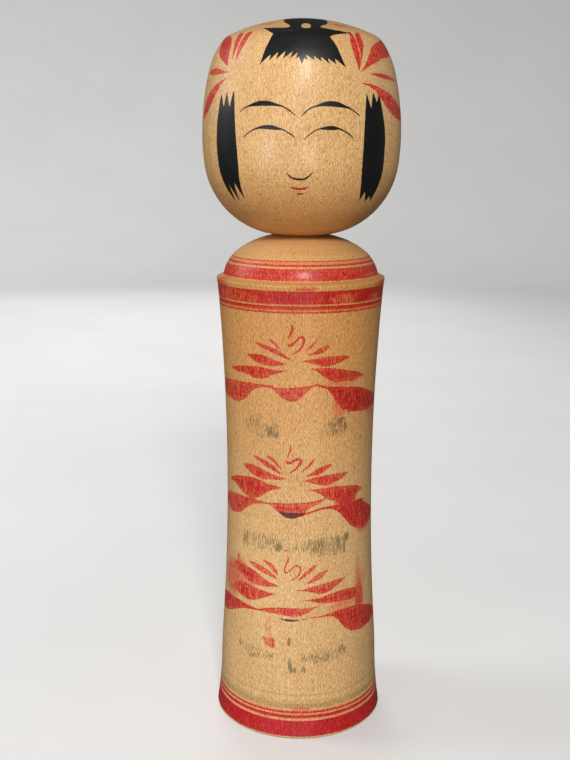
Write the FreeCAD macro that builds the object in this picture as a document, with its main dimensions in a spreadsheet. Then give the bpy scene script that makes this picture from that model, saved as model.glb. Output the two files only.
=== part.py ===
import FreeCAD, Part
import math
import os

import Sketcher

# A turned wooden kokeshi doll in two pieces. The body is a waisted cylinder with a stepped,
# domed shoulder and a blind socket. The head is a rounded drum with a bulb-ended tenon that is
# captive in the socket, so the head turns about +Z and doesn't lift off.
# Millimetres, +Z up, origin at the middle of the base. Heights are measured from the base.
DIMENSIONS = {
    # underside of the body
    "foot_chamfer": 0.9,
    "foot_ring_inner_radius": 33.0,
    "base_hollow_depth": 0.8,
    "claw_mark_centre_radius": 11.0,
    "claw_mark_length": 4.5,
    "claw_mark_width": 1.4,
    "claw_mark_depth": 2.2,
    "claw_mark_count": 4,
    # side of the body, foot to shoulder rim
    "foot_radius": 37.6,
    "foot_flare_arc_radius": 180.0,
    "foot_flare_radius": 35.4,
    "foot_flare_height": 24.0,
    "calf_radius": 34.6,
    "calf_height": 41.2,
    "waist_radius": 32.2,
    "waist_height": 106.0,
    "chest_radius": 35.1,
    "chest_height": 189.2,
    "rim_radius": 36.0,
    "rim_height": 198.2,
    "rim_edge_round": 0.35,
    # bevelled ledge and dome
    "dome_foot_radius": 33.1,
    "dome_foot_height": 199.4,
    "dome_lower_arc_radius": 16.1,
    "dome_upper_start_radius": 26.7,
    "dome_upper_start_height": 209.6,
    "dome_seat_radius": 11.0,
    # neck joint
    "seat_height": 216.0,
    "throat_radius": 8.05,
    "throat_length": 8.0,
    "neck_gap": 0.05,
    "cavity_radius": 12.0,
    "cavity_shoulder_length": 3.6,
    "cavity_length": 26.0,
    "cavity_tip_depth": 4.0,
    "bulb_radius": 9.6,
    "bulb_start_depth": 8.6,
    "bulb_centre_depth": 13.5,
    "tenon_end_radius": 6.4,
    "tenon_length": 24.5,
    # head
    "head_seat_radius": 10.2,
    "cheek_arc_radius": 33.6,
    "cheek_radius": 40.6,
    "cheek_height": 245.2,
    "widest_radius": 41.35,
    "widest_height": 256.8,
    "temple_radius": 38.2,
    "temple_height": 282.6,
    "crown_edge_start_radius": 33.2,
    "crown_edge_start_height": 293.5,
    "crown_edge_end_radius": 30.1,
    "crown_height": 303.0,
    # V-shaped lines scored on the lathe: half width equals depth
    "line_depth": 0.22,
    "line_opening": 1.0,
    "foot_line_1_height": 8.7,
    "foot_line_1_radius": 36.44,
    "foot_line_2_height": 11.5,
    "foot_line_2_radius": 36.16,
    "foot_line_3_height": 13.7,
    "foot_line_3_radius": 35.95,
    "chest_line_height": 190.3,
    "chest_line_radius": 35.19,
    "dome_line_height": 204.8,
    "dome_line_radius": 31.09,
}

ARC_TOLERANCE = 0.02  # largest gap allowed between a line's stated radius and the turned side
SAME_PLACE = 1e-6  # two lengths closer than this are the same
CROWN_EDGE_GUESS = 296.15  # where the sketch solver starts to look for the crown edge's height
BEYOND_THE_SIDE = 60.0  # a radius outside every part of the doll
MARK_TOLERANCE = 0.05  # share by which the claw marks may differ from copies of the first

document = FreeCAD.newDocument("Kokeshi")


def fill_sheet():
    """Put the driving dimensions in a spreadsheet, one named cell each."""
    sheet = document.addObject("Spreadsheet::Sheet", "dims")
    for row, (name, value) in enumerate(DIMENSIONS.items(), start=1):
        sheet.set(f"A{row}", name)
        sheet.set(f"B{row}", str(value))
        sheet.setAlias(f"B{row}", name)
    document.recompute()


def total(sum_of_names):
    """The value of a sum of dimensions, such as "seat_height - throat_length"."""
    value = 0.0
    sign = 1
    for word in sum_of_names.split():
        if word in "+-":
            sign = 1 if word == "+" else -1
        elif word != "0":
            value += sign * DIMENSIONS[word]
    return value


def expression(sum_of_names):
    """The same sum, written for a constraint bound to the sheet."""
    return " ".join(word if word in "+-" else f"dims.{word}" for word in sum_of_names.split())


def new_body(label):
    """An empty PartDesign body whose label is the node's name."""
    body = document.addObject("PartDesign::Body", label)
    body.Label = label
    return body


def new_sketch(body, name, plane_role):
    """A sketch flat on one of the body's own origin planes."""
    sketch = body.newObject("Sketcher::SketchObject", name)
    plane = next(feature for feature in body.Origin.OriginFeatures if feature.Role == plane_role)
    sketch.AttachmentSupport = [(plane, "")]
    sketch.MapMode = "FlatFace"
    return sketch


class HalfSection:
    """A closed half section beside the axis of turning: sketch x is radius, sketch y is height.

    Corners are (radius, height) pairs, each a sum of dimension names, "0" for the axis or the
    base plane, or None for a height that tangency settles.
    """

    def __init__(self, body, name):
        self.sketch = new_sketch(body, name, "XZ_Plane")
        self.corner = None
        self.heading = None
        self.last_end = None
        self.first_start = None

    def start(self, radius, height):
        self.corner = FreeCAD.Vector(total(radius), total(height), 0)
        self.first_corner = self.corner
        self.first_names = (radius, height)

    def line_to(self, radius, height):
        """A straight edge from the last corner."""
        target = FreeCAD.Vector(total(radius), total(height), 0)
        edge = self.sketch.addGeometry(Part.LineSegment(self.corner, target), False)
        self._join(edge, 1, "Coincident")
        self._leave(edge, 2, target, target - self.corner)
        self._fix(edge, 2, radius, height)

    def arc_to(self, radius, height, arc_radius=None, curls_out=False):
        """An arc of a stated radius, or else one that runs on tangent from the last edge."""
        target = FreeCAD.Vector(total(radius), total(height), 0)
        chord = target - self.corner
        if arc_radius:
            side = -1 if curls_out else 1
            half_turn = side * math.asin(chord.Length / 2 / total(arc_radius))
        else:
            half_turn = self._turn(self.heading, chord)
        edge, start, end = self._add_arc(target, half_turn)
        self._join(edge, start, "Coincident" if arc_radius else "Tangent")
        leaving = self._rotated(chord, half_turn)
        self._leave(edge, end, target, leaving)
        self._fix(edge, end, radius, height)
        if arc_radius:
            self._bind("Radius", (edge,), arc_radius)

    def crown_to(self, height, edge_radius, edge_height_guess):
        """A small arc to a height that tangency settles, then one centred on the axis."""
        rim = FreeCAD.Vector(total(edge_radius), edge_height_guess, 0)
        edge, start, end = self._add_arc(rim, self._turn(self.heading, rim - self.corner))
        self._join(edge, start, "Tangent")
        self._bind("DistanceX", (-1, 1, edge, end), edge_radius)
        self.corner = rim
        self.last_end = (edge, end)
        apex = FreeCAD.Vector(0, total(height), 0)
        chord = apex - rim
        self.heading = FreeCAD.Vector(-1, 0, 0)
        crown, start, end = self._add_arc(apex, self._turn(chord, self.heading))
        self._join(crown, start, "Tangent")
        self._leave(crown, end, apex, self.heading)
        self._fix(crown, end, "0", height)
        self.sketch.addConstraint(Sketcher.Constraint("PointOnObject", crown, 3, -2))

    def close(self):
        """The last straight edge, back to the first corner."""
        edge = self.sketch.addGeometry(Part.LineSegment(self.corner, self.first_corner), False)
        self._join(edge, 1, "Coincident")
        first_edge, first_point = self.first_start
        closing = Sketcher.Constraint("Coincident", edge, 2, first_edge, first_point)
        self.sketch.addConstraint(closing)
        self._fix(edge, 2, *self.first_names)

    def _add_arc(self, target, half_turn):
        """An arc whose heading swings by twice half_turn; returns it with its two point numbers."""
        chord = target - self.corner
        across = FreeCAD.Vector(-chord.y, chord.x, 0).normalize()
        radius = chord.Length / 2 / abs(math.sin(half_turn))
        bow = math.copysign(radius * math.cos(half_turn), half_turn)
        centre = (self.corner + target) * 0.5 + across * bow
        first, last = (self.corner, target) if half_turn > 0 else (target, self.corner)
        from_angle = math.atan2(first.y - centre.y, first.x - centre.x)
        to_angle = math.atan2(last.y - centre.y, last.x - centre.x)
        if to_angle < from_angle:
            to_angle += 2 * math.pi
        circle = Part.Circle(centre, FreeCAD.Vector(0, 0, 1), radius)
        edge = self.sketch.addGeometry(Part.ArcOfCircle(circle, from_angle, to_angle), False)
        return (edge, 1, 2) if half_turn > 0 else (edge, 2, 1)

    def _turn(self, from_direction, to_direction):
        """Signed angle from one direction to another, positive when it turns left."""
        cross = from_direction.x * to_direction.y - from_direction.y * to_direction.x
        return math.atan2(cross, from_direction.dot(to_direction))

    def _rotated(self, vector, angle):
        x = vector.x * math.cos(angle) - vector.y * math.sin(angle)
        y = vector.x * math.sin(angle) + vector.y * math.cos(angle)
        return FreeCAD.Vector(x, y, 0)

    def _join(self, edge, point, kind):
        if self.last_end is None:
            self.first_start = (edge, point)
        else:
            self.sketch.addConstraint(Sketcher.Constraint(kind, *self.last_end, edge, point))

    def _leave(self, edge, point, corner, heading):
        self.last_end = (edge, point)
        self.corner = corner
        self.heading = heading

    def _fix(self, edge, point, radius, height):
        if radius == "0":
            self.sketch.addConstraint(Sketcher.Constraint("PointOnObject", edge, point, -2))
        else:
            self._bind("DistanceX", (-1, 1, edge, point), radius)
        if height == "0":
            self.sketch.addConstraint(Sketcher.Constraint("PointOnObject", edge, point, -1))
        else:
            self._bind("DistanceY", (-1, 1, edge, point), height)

    def _bind(self, kind, where, names):
        """A dimension whose value comes from the sheet."""
        number = self.sketch.addConstraint(Sketcher.Constraint(kind, *where, total(names)))
        self.sketch.setExpression(f"Constraints[{number}]", expression(names))


def revolve(body, section, feature_type, name):
    """Turn a half section a full turn about its vertical axis."""
    feature = body.newObject(feature_type, name)
    feature.Profile = section
    feature.ReferenceAxis = (section, ["V_Axis"])
    feature.Angle = 360
    section.Visibility = False
    document.recompute()
    return feature


def build_turned_body(body):
    """The body's outside, its hollowed underside and the blind socket for the tenon."""
    section = HalfSection(body, "body_section")
    section.start("0", "base_hollow_depth")
    section.line_to("foot_ring_inner_radius", "0")
    section.line_to("foot_radius", "0")
    section.arc_to("foot_flare_radius", "foot_flare_height", "foot_flare_arc_radius", curls_out=True)
    section.arc_to("calf_radius", "calf_height")
    section.arc_to("waist_radius", "waist_height")
    section.arc_to("chest_radius", "chest_height")
    section.arc_to("rim_radius", "rim_height")
    section.line_to("dome_foot_radius", "dome_foot_height")
    section.arc_to("dome_upper_start_radius", "dome_upper_start_height", "dome_lower_arc_radius")
    section.arc_to("dome_seat_radius", "seat_height")
    section.line_to("throat_radius", "seat_height")
    section.line_to("throat_radius", "seat_height - throat_length")
    section.line_to("cavity_radius", "seat_height - throat_length - cavity_shoulder_length")
    section.line_to("cavity_radius", "seat_height - cavity_length")
    section.line_to("0", "seat_height - cavity_length - cavity_tip_depth")
    section.close()
    revolve(body, section.sketch, "PartDesign::Revolution", "turned_body")


def soften_edge(body, kind, name, radius, height, size):
    """A chamfer or fillet on the circular edge at one radius and height."""
    edges = body.Tip.Shape.Edges
    for number, edge in enumerate(edges, start=1):
        on_height = all(abs(vertex.Z - total(height)) < SAME_PLACE for vertex in edge.Vertexes)
        circular = isinstance(edge.Curve, Part.Circle)
        if circular and on_height and abs(edge.Curve.Radius - total(radius)) < SAME_PLACE:
            base = body.Tip
            feature = body.newObject(kind, name)
            feature.Base = (base, [f"Edge{number}"])
            feature.setExpression("Size" if kind.endswith("Chamfer") else "Radius", expression(size))
            document.recompute()
            return
    raise ValueError(f"no circular edge for {name}")


def score_lines(body, names):
    """V-shaped scored lines round the turned side, all cut by one groove."""
    section = HalfSection(body, "scored_lines_section")
    sketch = section.sketch
    for name in names:
        section.last_end = None
        root = (f"{name}_radius - line_depth", f"{name}_height")
        section.start(*root)
        section.line_to(f"{name}_radius + line_opening", f"{name}_height + line_depth + line_opening")
        section.line_to(f"{name}_radius + line_opening", f"{name}_height - line_depth - line_opening")
        section.close()
    before = body.Tip.Shape.Volume
    groove = revolve(body, sketch, "PartDesign::Groove", "scored_lines")
    if groove.Shape.Volume >= before:
        raise ValueError("the scored lines cut nothing")


def cut_claw_marks(body):
    """Slots in the underside where the lathe's chuck claws held the blank."""
    sketch = new_sketch(body, "claw_mark_section", "XY_Plane")
    half_length = DIMENSIONS["claw_mark_length"] / 2
    half_width = DIMENSIONS["claw_mark_width"] / 2
    middle = DIMENSIONS["claw_mark_centre_radius"]
    corners = [
        FreeCAD.Vector(middle - half_length, -half_width, 0),
        FreeCAD.Vector(middle + half_length, -half_width, 0),
        FreeCAD.Vector(middle + half_length, half_width, 0),
        FreeCAD.Vector(middle - half_length, half_width, 0),
    ]
    for index, corner in enumerate(corners):
        sketch.addGeometry(Part.LineSegment(corner, corners[(index + 1) % 4]), False)
    for index in range(4):
        sketch.addConstraint(Sketcher.Constraint("Coincident", index, 2, (index + 1) % 4, 1))
    for index, kind in enumerate(["Horizontal", "Vertical", "Horizontal"]):
        sketch.addConstraint(Sketcher.Constraint(kind, index))
    sketch.addConstraint(Sketcher.Constraint("Symmetric", 0, 1, 2, 2, -1))
    bound = [
        ("DistanceX", (0, 1, 0, 2), "dims.claw_mark_length"),
        ("DistanceY", (1, 1, 1, 2), "dims.claw_mark_width"),
        ("DistanceX", (-1, 1, 0, 1), "dims.claw_mark_centre_radius - dims.claw_mark_length / 2"),
    ]
    values = [2 * half_length, 2 * half_width, middle - half_length]
    for (kind, where, formula), value in zip(bound, values):
        number = sketch.addConstraint(Sketcher.Constraint(kind, *where, value))
        sketch.setExpression(f"Constraints[{number}]", formula)
    before = body.Tip.Shape.Volume
    mark = body.newObject("PartDesign::Pocket", "claw_mark")
    mark.Profile = sketch
    mark.Reversed = True
    mark.setExpression("Length", "dims.claw_mark_depth + dims.base_hollow_depth")
    sketch.Visibility = False
    document.recompute()
    ring = body.newObject("PartDesign::PolarPattern", "claw_marks")
    ring.Originals = [mark]
    ring.Axis = (sketch, ["N_Axis"])
    ring.Angle = 360
    ring.setExpression("Occurrences", "dims.claw_mark_count")
    body.Tip = ring
    document.recompute()
    one_mark = before - mark.Shape.Volume
    all_marks = before - ring.Shape.Volume
    error = abs(all_marks - DIMENSIONS["claw_mark_count"] * one_mark)
    if one_mark <= 0 or error > MARK_TOLERANCE * all_marks:
        raise ValueError("a claw mark is missing")


def build_head(body):
    """The rounded drum of the head with its seat and bulb-ended tenon, one piece of wood."""
    section = HalfSection(body, "head_section")
    section.start("0", "seat_height - tenon_length")
    section.line_to("tenon_end_radius", "seat_height - tenon_length")
    section.line_to("bulb_radius", "seat_height - bulb_centre_depth")
    section.line_to("throat_radius - neck_gap", "seat_height - bulb_start_depth")
    section.line_to("throat_radius - neck_gap", "seat_height")
    section.line_to("head_seat_radius", "seat_height")
    section.arc_to("cheek_radius", "cheek_height", "cheek_arc_radius")
    section.arc_to("widest_radius", "widest_height")
    section.arc_to("temple_radius", "temple_height")
    section.arc_to("crown_edge_start_radius", "crown_edge_start_height")
    section.crown_to("crown_height", "crown_edge_end_radius", CROWN_EDGE_GUESS)
    section.close()
    revolve(body, section.sketch, "PartDesign::Revolution", "turned_head")


def check_lines_lie_on_side(body, names):
    """Each scored line's stated radius has to be the turned side's radius at its height."""
    for name in names:
        height = total(f"{name}_height")
        ray = Part.makeLine(FreeCAD.Vector(0, 0, height), FreeCAD.Vector(BEYOND_THE_SIDE, 0, height))
        inside = body.Tip.Shape.common(ray)
        radius = inside.BoundBox.XMax
        if abs(radius - total(f"{name}_radius")) > ARC_TOLERANCE:
            raise ValueError(f"{name} is at radius {radius:.3f}")


def check_and_write(bodies):
    """Stop on any failed object or bad shape, then write one STEP file for each node."""
    document.recompute()
    for item in document.Objects:
        if "Invalid" in item.State or "Error" in item.State:
            raise ValueError(f"{item.Label} failed: {item.State}")
        if item.TypeId == "Sketcher::SketchObject" and not item.FullyConstrained:
            raise ValueError(f"{item.Label} isn't fully constrained")
    for body in bodies:
        if body.Shape.isNull() or not body.Shape.isValid():
            raise ValueError(f"{body.Label} has no valid shape")
    os.makedirs("parts", exist_ok=True)
    for body in bodies:
        body.Shape.exportStep(f"parts/{body.Label}.step")
        box = body.Shape.optimalBoundingBox()
        print(f"{body.Label}: {body.Shape.Volume / 1000:.1f} cm3, z {box.ZMin:.2f} to {box.ZMax:.2f}")


fill_sheet()

doll_body = new_body("body")
build_turned_body(doll_body)
side_lines = ["foot_line_1", "foot_line_2", "foot_line_3", "chest_line", "dome_line"]
check_lines_lie_on_side(doll_body, side_lines)
soften_edge(doll_body, "PartDesign::Chamfer", "foot_edge", "foot_radius", "0", "foot_chamfer")
soften_edge(doll_body, "PartDesign::Fillet", "rim_edge", "rim_radius", "rim_height", "rim_edge_round")
score_lines(doll_body, side_lines)
cut_claw_marks(doll_body)

doll_head = new_body("head")
build_head(doll_head)

for piece in (doll_body, doll_head):
    piece.Placement = FreeCAD.Placement(FreeCAD.Vector(0, 0, 0), FreeCAD.Rotation())

check_and_write([doll_body, doll_head])
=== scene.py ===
"""Looks of a turned wooden doll: a waisted body and a turning head, painted by hand.

The doll's lengths are in millimetres until a mesh is written, and those of the stage, lights and
camera in metres. Azimuths are in degrees: 0 is the face (-Y), and positive ones go to the viewer's
right (+X). A stroke or line has points (azimuth, height, half-width) along its middle, and an
outline (azimuth, height), or (x, y) where it is seen from above on the crown.
"""
import math

import bmesh
import bpy
import numpy as np
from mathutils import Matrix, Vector


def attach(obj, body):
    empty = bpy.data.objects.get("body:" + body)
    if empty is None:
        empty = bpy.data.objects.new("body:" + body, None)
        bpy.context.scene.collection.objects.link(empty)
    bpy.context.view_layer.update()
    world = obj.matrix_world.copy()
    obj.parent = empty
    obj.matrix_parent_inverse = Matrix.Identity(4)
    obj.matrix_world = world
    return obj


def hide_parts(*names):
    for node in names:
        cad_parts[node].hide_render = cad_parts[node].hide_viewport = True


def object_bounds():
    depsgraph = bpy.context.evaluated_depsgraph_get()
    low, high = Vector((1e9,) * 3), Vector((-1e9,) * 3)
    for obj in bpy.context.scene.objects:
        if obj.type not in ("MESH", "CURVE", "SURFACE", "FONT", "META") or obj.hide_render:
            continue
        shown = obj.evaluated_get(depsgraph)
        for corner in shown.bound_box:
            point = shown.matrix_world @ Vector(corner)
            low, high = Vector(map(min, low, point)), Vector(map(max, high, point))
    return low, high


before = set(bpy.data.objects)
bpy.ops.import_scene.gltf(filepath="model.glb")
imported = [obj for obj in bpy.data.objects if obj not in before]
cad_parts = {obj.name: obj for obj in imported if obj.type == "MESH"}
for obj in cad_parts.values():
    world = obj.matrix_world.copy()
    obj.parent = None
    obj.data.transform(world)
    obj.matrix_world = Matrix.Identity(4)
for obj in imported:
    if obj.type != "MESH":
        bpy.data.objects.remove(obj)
CAD_BOX = [list(corner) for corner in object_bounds()]

MM = 0.001
TOP = round(CAD_BOX[1][2] / MM, 2)  # the crown's height
RING_POINTS = 20  # a radius and height that this many vertices share is a ring
STEP_NEAR = 0.01  # a height this little under a step of a table is on that step
SHARP_CORNER = math.radians(14)  # an outline that turns more than this at a ring has a corner there
SHADE_CORNER = math.radians(32)  # faces that meet at more than this are shaded as an edge
CROWN_DEPTH = 25.0  # how far below the top a place seen from above may be
FAR = -5.0  # the edge distance where there is no paint near
LINE_SPREAD = 0.05  # how far ink spreads to each side of a fine line
REACH = 2.6  # how far from a stroke its distance is worked out
SMEAR_END = 1.3  # a smear ends at this many times its half-size
SMEAR_FADE = 0.6  # and fades over this much of it


# ------------------------------
# Outlines, read from the CAD nodes
# ------------------------------

def mesh_points(node):
    """The vertices of a CAD node, in mm."""
    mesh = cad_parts[node].data
    points = np.empty(len(mesh.vertices) * 3)
    mesh.vertices.foreach_get("co", points)
    return points.reshape(-1, 3) / MM


def outer_rings(node, is_outer, thin_above, thin_gap):
    """The rings of a turned node as (radius, height), from the bottom up.

    Above the height thin_above, a ring within thin_gap of the last one is left out.
    """
    points = mesh_points(node)
    pairs = np.round(np.column_stack([np.hypot(points[:, 0], points[:, 1]), points[:, 2]]), 2)
    pairs, counts = np.unique(pairs, axis=0, return_counts=True)
    pairs = pairs[counts >= RING_POINTS]
    pairs = pairs[is_outer(pairs[:, 0], pairs[:, 1])]
    pairs = pairs[np.lexsort((-pairs[:, 0], pairs[:, 1]))]
    kept = [pairs[0]]
    for pair in pairs[1:]:
        gap = np.hypot(*(pair - kept[-1]))
        if pair[1] < thin_above or gap > thin_gap:
            kept.append(pair)
    return np.array(kept)


def fill_rows(rings, gap_at):
    """Rows along an outline: every ring, with a smooth curve between rings that turn gently."""
    step = np.diff(rings, axis=0)
    length = np.hypot(step[:, 0], step[:, 1])
    heading = step / length[:, None]

    def tangent(ring, segment):
        if ring == 0 or ring == len(step):
            return heading[segment]
        before, after = heading[ring - 1], heading[ring]
        turn = math.acos(max(-1.0, min(1.0, float(before @ after))))
        if turn > SHARP_CORNER:
            return heading[segment]
        mean = before * length[ring] + after * length[ring - 1]
        return mean / np.hypot(*mean)

    rows = [rings[0]]
    for i in range(len(step)):
        count = max(1, math.ceil(length[i] / gap_at(rings[i][1])))
        start, end = tangent(i, i) * length[i], tangent(i + 1, i) * length[i]
        for t in np.arange(1, count + 1) / count:
            rows.append((2 * t**3 - 3 * t**2 + 1) * rings[i] + (t**3 - 2 * t**2 + t) * start
                        + (3 * t**2 - 2 * t**3) * rings[i + 1] + (t**3 - t**2) * end)
    rows = np.array(rows)
    rows[:, 0] = np.minimum(rows[:, 0], rings[:, 0].max())
    return rows


def stepped(table):
    """A function that gives the amount of the last (height, amount) row at or below a height."""
    def value(height):
        found = table[0][1]
        for start, amount in table:
            if height >= start - STEP_NEAR:
                found = amount
        return found
    return value


def spaced_columns(table):
    """Azimuths all round: each table row is (azimuth where the step starts, step in degrees)."""
    half = []
    for i, (start, step) in enumerate(table):
        end = table[i + 1][0] if i + 1 < len(table) else 180.0
        half.extend(np.linspace(start, end, max(1, round((end - start) / step)), endpoint=False))
    half = np.array(half)
    return np.concatenate([-half[:0:-1], half, [180.0]])


# ------------------------------
# Turned surfaces and the paint on them
# ------------------------------

class Turned:
    """A turned surface as a grid of rows and columns, and the paint layers held on its points."""

    def __init__(self, rows, outer_count, columns, turn=0.0):
        self.rows = rows
        self.turn = math.radians(turn)
        self.columns = columns
        outer = rows[:outer_count]
        self.heights = outer[:, 1]
        self.radii = outer[:, 0]
        steps = np.hypot(np.diff(self.radii), np.diff(self.heights))
        self.from_top = np.concatenate([np.cumsum(steps[::-1])[::-1], [0.0]])
        azimuth, row = np.meshgrid(np.radians(columns), np.arange(len(rows)))
        radius = rows[row, 0]
        self.points = np.stack(
            [radius * np.sin(azimuth), -radius * np.cos(azimuth), rows[row, 1]], axis=-1
        ).reshape(-1, 3)
        self.azimuth = np.degrees(azimuth).ravel()
        self.outer = np.repeat(np.arange(len(rows)) < outer_count, len(columns))
        self.layers = {}

    def layer(self, name, fill):
        """A paint layer's values, one per grid point, made on first use."""
        return self.layers.setdefault(name, np.full(len(self.points), float(fill)))

    def on_side(self, azimuth, height):
        """The point of the surface at an azimuth and a height."""
        radius = np.interp(height, self.heights, self.radii)
        angle = math.radians(azimuth) + self.turn
        return [radius * math.sin(angle), -radius * math.cos(angle), height]

    def on_sides(self, corners):
        """The points of the surface at (azimuth, height) corners."""
        return [self.on_side(azimuth, height) for azimuth, height in corners]

    def on_crown(self, x, y):
        """The point of the top of the surface at a place seen from above."""
        top = self.heights > self.heights[-1] - CROWN_DEPTH
        height = np.interp(-math.hypot(x, y), -self.radii[top], self.heights[top])
        along, across = math.cos(self.turn), math.sin(self.turn)
        return [x * along - y * across, x * across + y * along, height]

    def chart(self, points):
        """Points on a flat map centred on the top, true along each meridian."""
        reach = np.interp(points[:, 2], self.heights, self.from_top)
        radius = np.maximum(np.hypot(points[:, 0], points[:, 1]), 1e-9)
        return points[:, :2] * (reach / radius)[:, None]

    def near(self, path, margin):
        """Which grid points lie near a path."""
        low, high = path[:, :3].min(axis=0) - margin, path[:, :3].max(axis=0) + margin
        inside = ((self.points >= low) & (self.points <= high)).all(axis=1)
        return np.flatnonzero(inside & self.outer)

    def lay(self, near, depth, load, layer):
        """Lay paint on grid points where it reaches deeper in than what is there."""
        edge = self.layer(layer + "_edge", FAR)
        take = depth > edge[near]
        self.layer(layer + "_load", 1.0)[near[take]] = load
        edge[near[take]] = depth[take]

    def stroke(self, points, load=1.0, layer="red"):
        """A brush stroke, whose load says how much dye it left."""
        path = smooth_path([self.on_side(a, z) + [w] for a, z, w in points])
        near = self.near(path, REACH + path[:, 3].max())
        self.lay(near, nearest(self.points[near], path), load, layer)

    def line(self, points, layer="line"):
        """A fine line: its signed offset and half-width, so that it stays sharp between points."""
        path = smooth_path([self.on_side(a, z) + [w + LINE_SPREAD] for a, z, w in points])
        near = self.near(path, REACH)
        offset, half, beyond = beside(self.points[near], path)
        held_offset = self.layer(layer + "_offset", -FAR)
        held_half = self.layer(layer + "_half", FAR)
        cover = half - beyond - np.abs(offset)
        take = (cover > -REACH) & (cover > held_half[near] - np.abs(held_offset[near]))
        held_offset[near[take]] = offset[take]
        held_half[near[take]] = (half - beyond)[take]

    def within(self, corners):
        """The grid points near a closed outline, and how far inside it each one is."""
        loop = np.vstack([corners, corners[:1]])
        near = self.near(loop, REACH)
        path = np.column_stack([loop, np.zeros(len(loop))])
        distance = -nearest(self.points[near], path)
        inside = encloses(self.chart(loop), self.chart(self.points[near]))
        return near, np.where(inside, distance, -distance)

    def shape(self, corners, load=1.0, layer="red"):
        """A filled outline whose corners are points of the surface."""
        near, depth = self.within(corners)
        self.lay(near, depth, load, layer)

    def cut(self, corners, layer):
        """An outline left bare inside a painted shape."""
        near, depth = self.within(corners)
        edge = self.layer(layer + "_edge", FAR)
        edge[near] = np.minimum(edge[near], -depth)

    def band(self, low, high, load, layer="red"):
        """A painted ring between two heights."""
        depth = (high - low) / 2 - np.abs(self.points[:, 2] - (low + high) / 2)
        near = np.flatnonzero(self.outer & (depth > FAR))
        self.lay(near, depth[near], load, layer)

    def smear(self, azimuth, height, half_azimuth, half_height, load, layer="wash"):
        """A soft patch that fades from its middle out."""
        reach = np.hypot((self.azimuth - azimuth) / half_azimuth,
                         (self.points[:, 2] - height) / half_height)
        fade = np.clip(SMEAR_END - reach, 0.0, SMEAR_FADE) / SMEAR_FADE
        fade = fade * fade * (3 - 2 * fade) * load * self.outer
        amount = self.layer(layer, 0.0)
        np.maximum(amount, fade, out=amount)


def curve_through(rows, steps):
    """A Catmull-Rom curve through all but the first and last of some rows of numbers."""
    path = []
    for i in range(1, len(rows) - 2):
        a, b, c, d = rows[i - 1:i + 3]
        for t in np.arange(steps) / steps:
            path.append(0.5 * (2 * b + (c - a) * t + (2 * a - 5 * b + 4 * c - d) * t**2
                               + (3 * b - a - 3 * c + d) * t**3))
    return path


def smooth_path(points, steps=6):
    """An open curve of (x, y, z, half-width)."""
    rows = np.array(points, dtype=float)
    rows = np.vstack([2 * rows[0] - rows[1], rows, 2 * rows[-1] - rows[-2]])
    path = np.array(curve_through(rows, steps) + [rows[-2]])
    path[:, 3] = np.maximum(path[:, 3], 0.0)
    return path


def smooth_loop(corners, steps=4):
    """A closed curve through corners, without its first point repeated."""
    rows = np.array(corners, dtype=float)
    return np.array(curve_through(np.vstack([rows[-1:], rows, rows[:2]]), steps))


def measure(points, path):
    """How points lie to each segment of a path: from its start, along it, and off it."""
    run = path[1:, :3] - path[:-1, :3]
    length = np.linalg.norm(run, axis=1) + 1e-9
    run /= length[:, None]
    away = points[:, None, :] - path[None, :-1, :3]
    ahead = np.einsum("psk,sk->ps", away, run)
    held = np.clip(ahead, 0, length)
    distance = np.linalg.norm(away - held[..., None] * run, axis=2)
    half = path[:-1, 3] + (path[1:, 3] - path[:-1, 3]) * held / length
    return run, length, away, ahead, distance, half


def nearest(points, path):
    """How far inside a path of (x, y, z, half-width) points lie; negative outside it."""
    *_, distance, half = measure(points, path)
    return (half - distance).max(axis=1)


def beside(points, path):
    """The signed offset of points from a path, its half-width there and how far past its ends."""
    run, length, away, ahead, distance, half = measure(points, path)
    best = np.argmin(distance, axis=1)
    pick = np.arange(len(points)), best
    radial = points * [1, 1, 0]
    radial /= np.linalg.norm(radial, axis=1)[:, None]
    across = np.cross(run[best], radial)
    offset = np.einsum("pk,pk->p", away[pick], across)
    before = np.where(best == 0, -ahead[pick], 0)
    after = np.where(best == len(run) - 1, ahead[pick] - length[best], 0)
    return offset, half[pick], np.maximum(0, np.maximum(before, after))


def encloses(loop, points):
    """Which flat points are inside a closed loop, by counting crossings."""
    inside = np.zeros(len(points), dtype=bool)
    for (x0, y0), (x1, y1) in zip(loop[:-1], loop[1:]):
        if y0 == y1:
            continue
        crosses = (points[:, 1] > y0) != (points[:, 1] > y1)
        at = x0 + (points[:, 1] - y0) * (x1 - x0) / (y1 - y0)
        inside ^= crosses & (points[:, 0] < at)
    return inside


def grid_faces(row_count, column_count):
    """Quads of a grid that closes on itself round the axis."""
    faces = []
    for j in range(row_count - 1):
        low, high = j * column_count, (j + 1) * column_count
        for i in range(column_count):
            k = (i + 1) % column_count
            faces.append((low + i, low + k, high + k, high + i))
    return faces


def cap(bm, ring, point):
    """Close a ring of vertices with a fan to one point."""
    middle = bm.verts.new(point)
    for i, vertex in enumerate(ring):
        bm.faces.new((vertex, ring[(i + 1) % len(ring)], middle))


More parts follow.
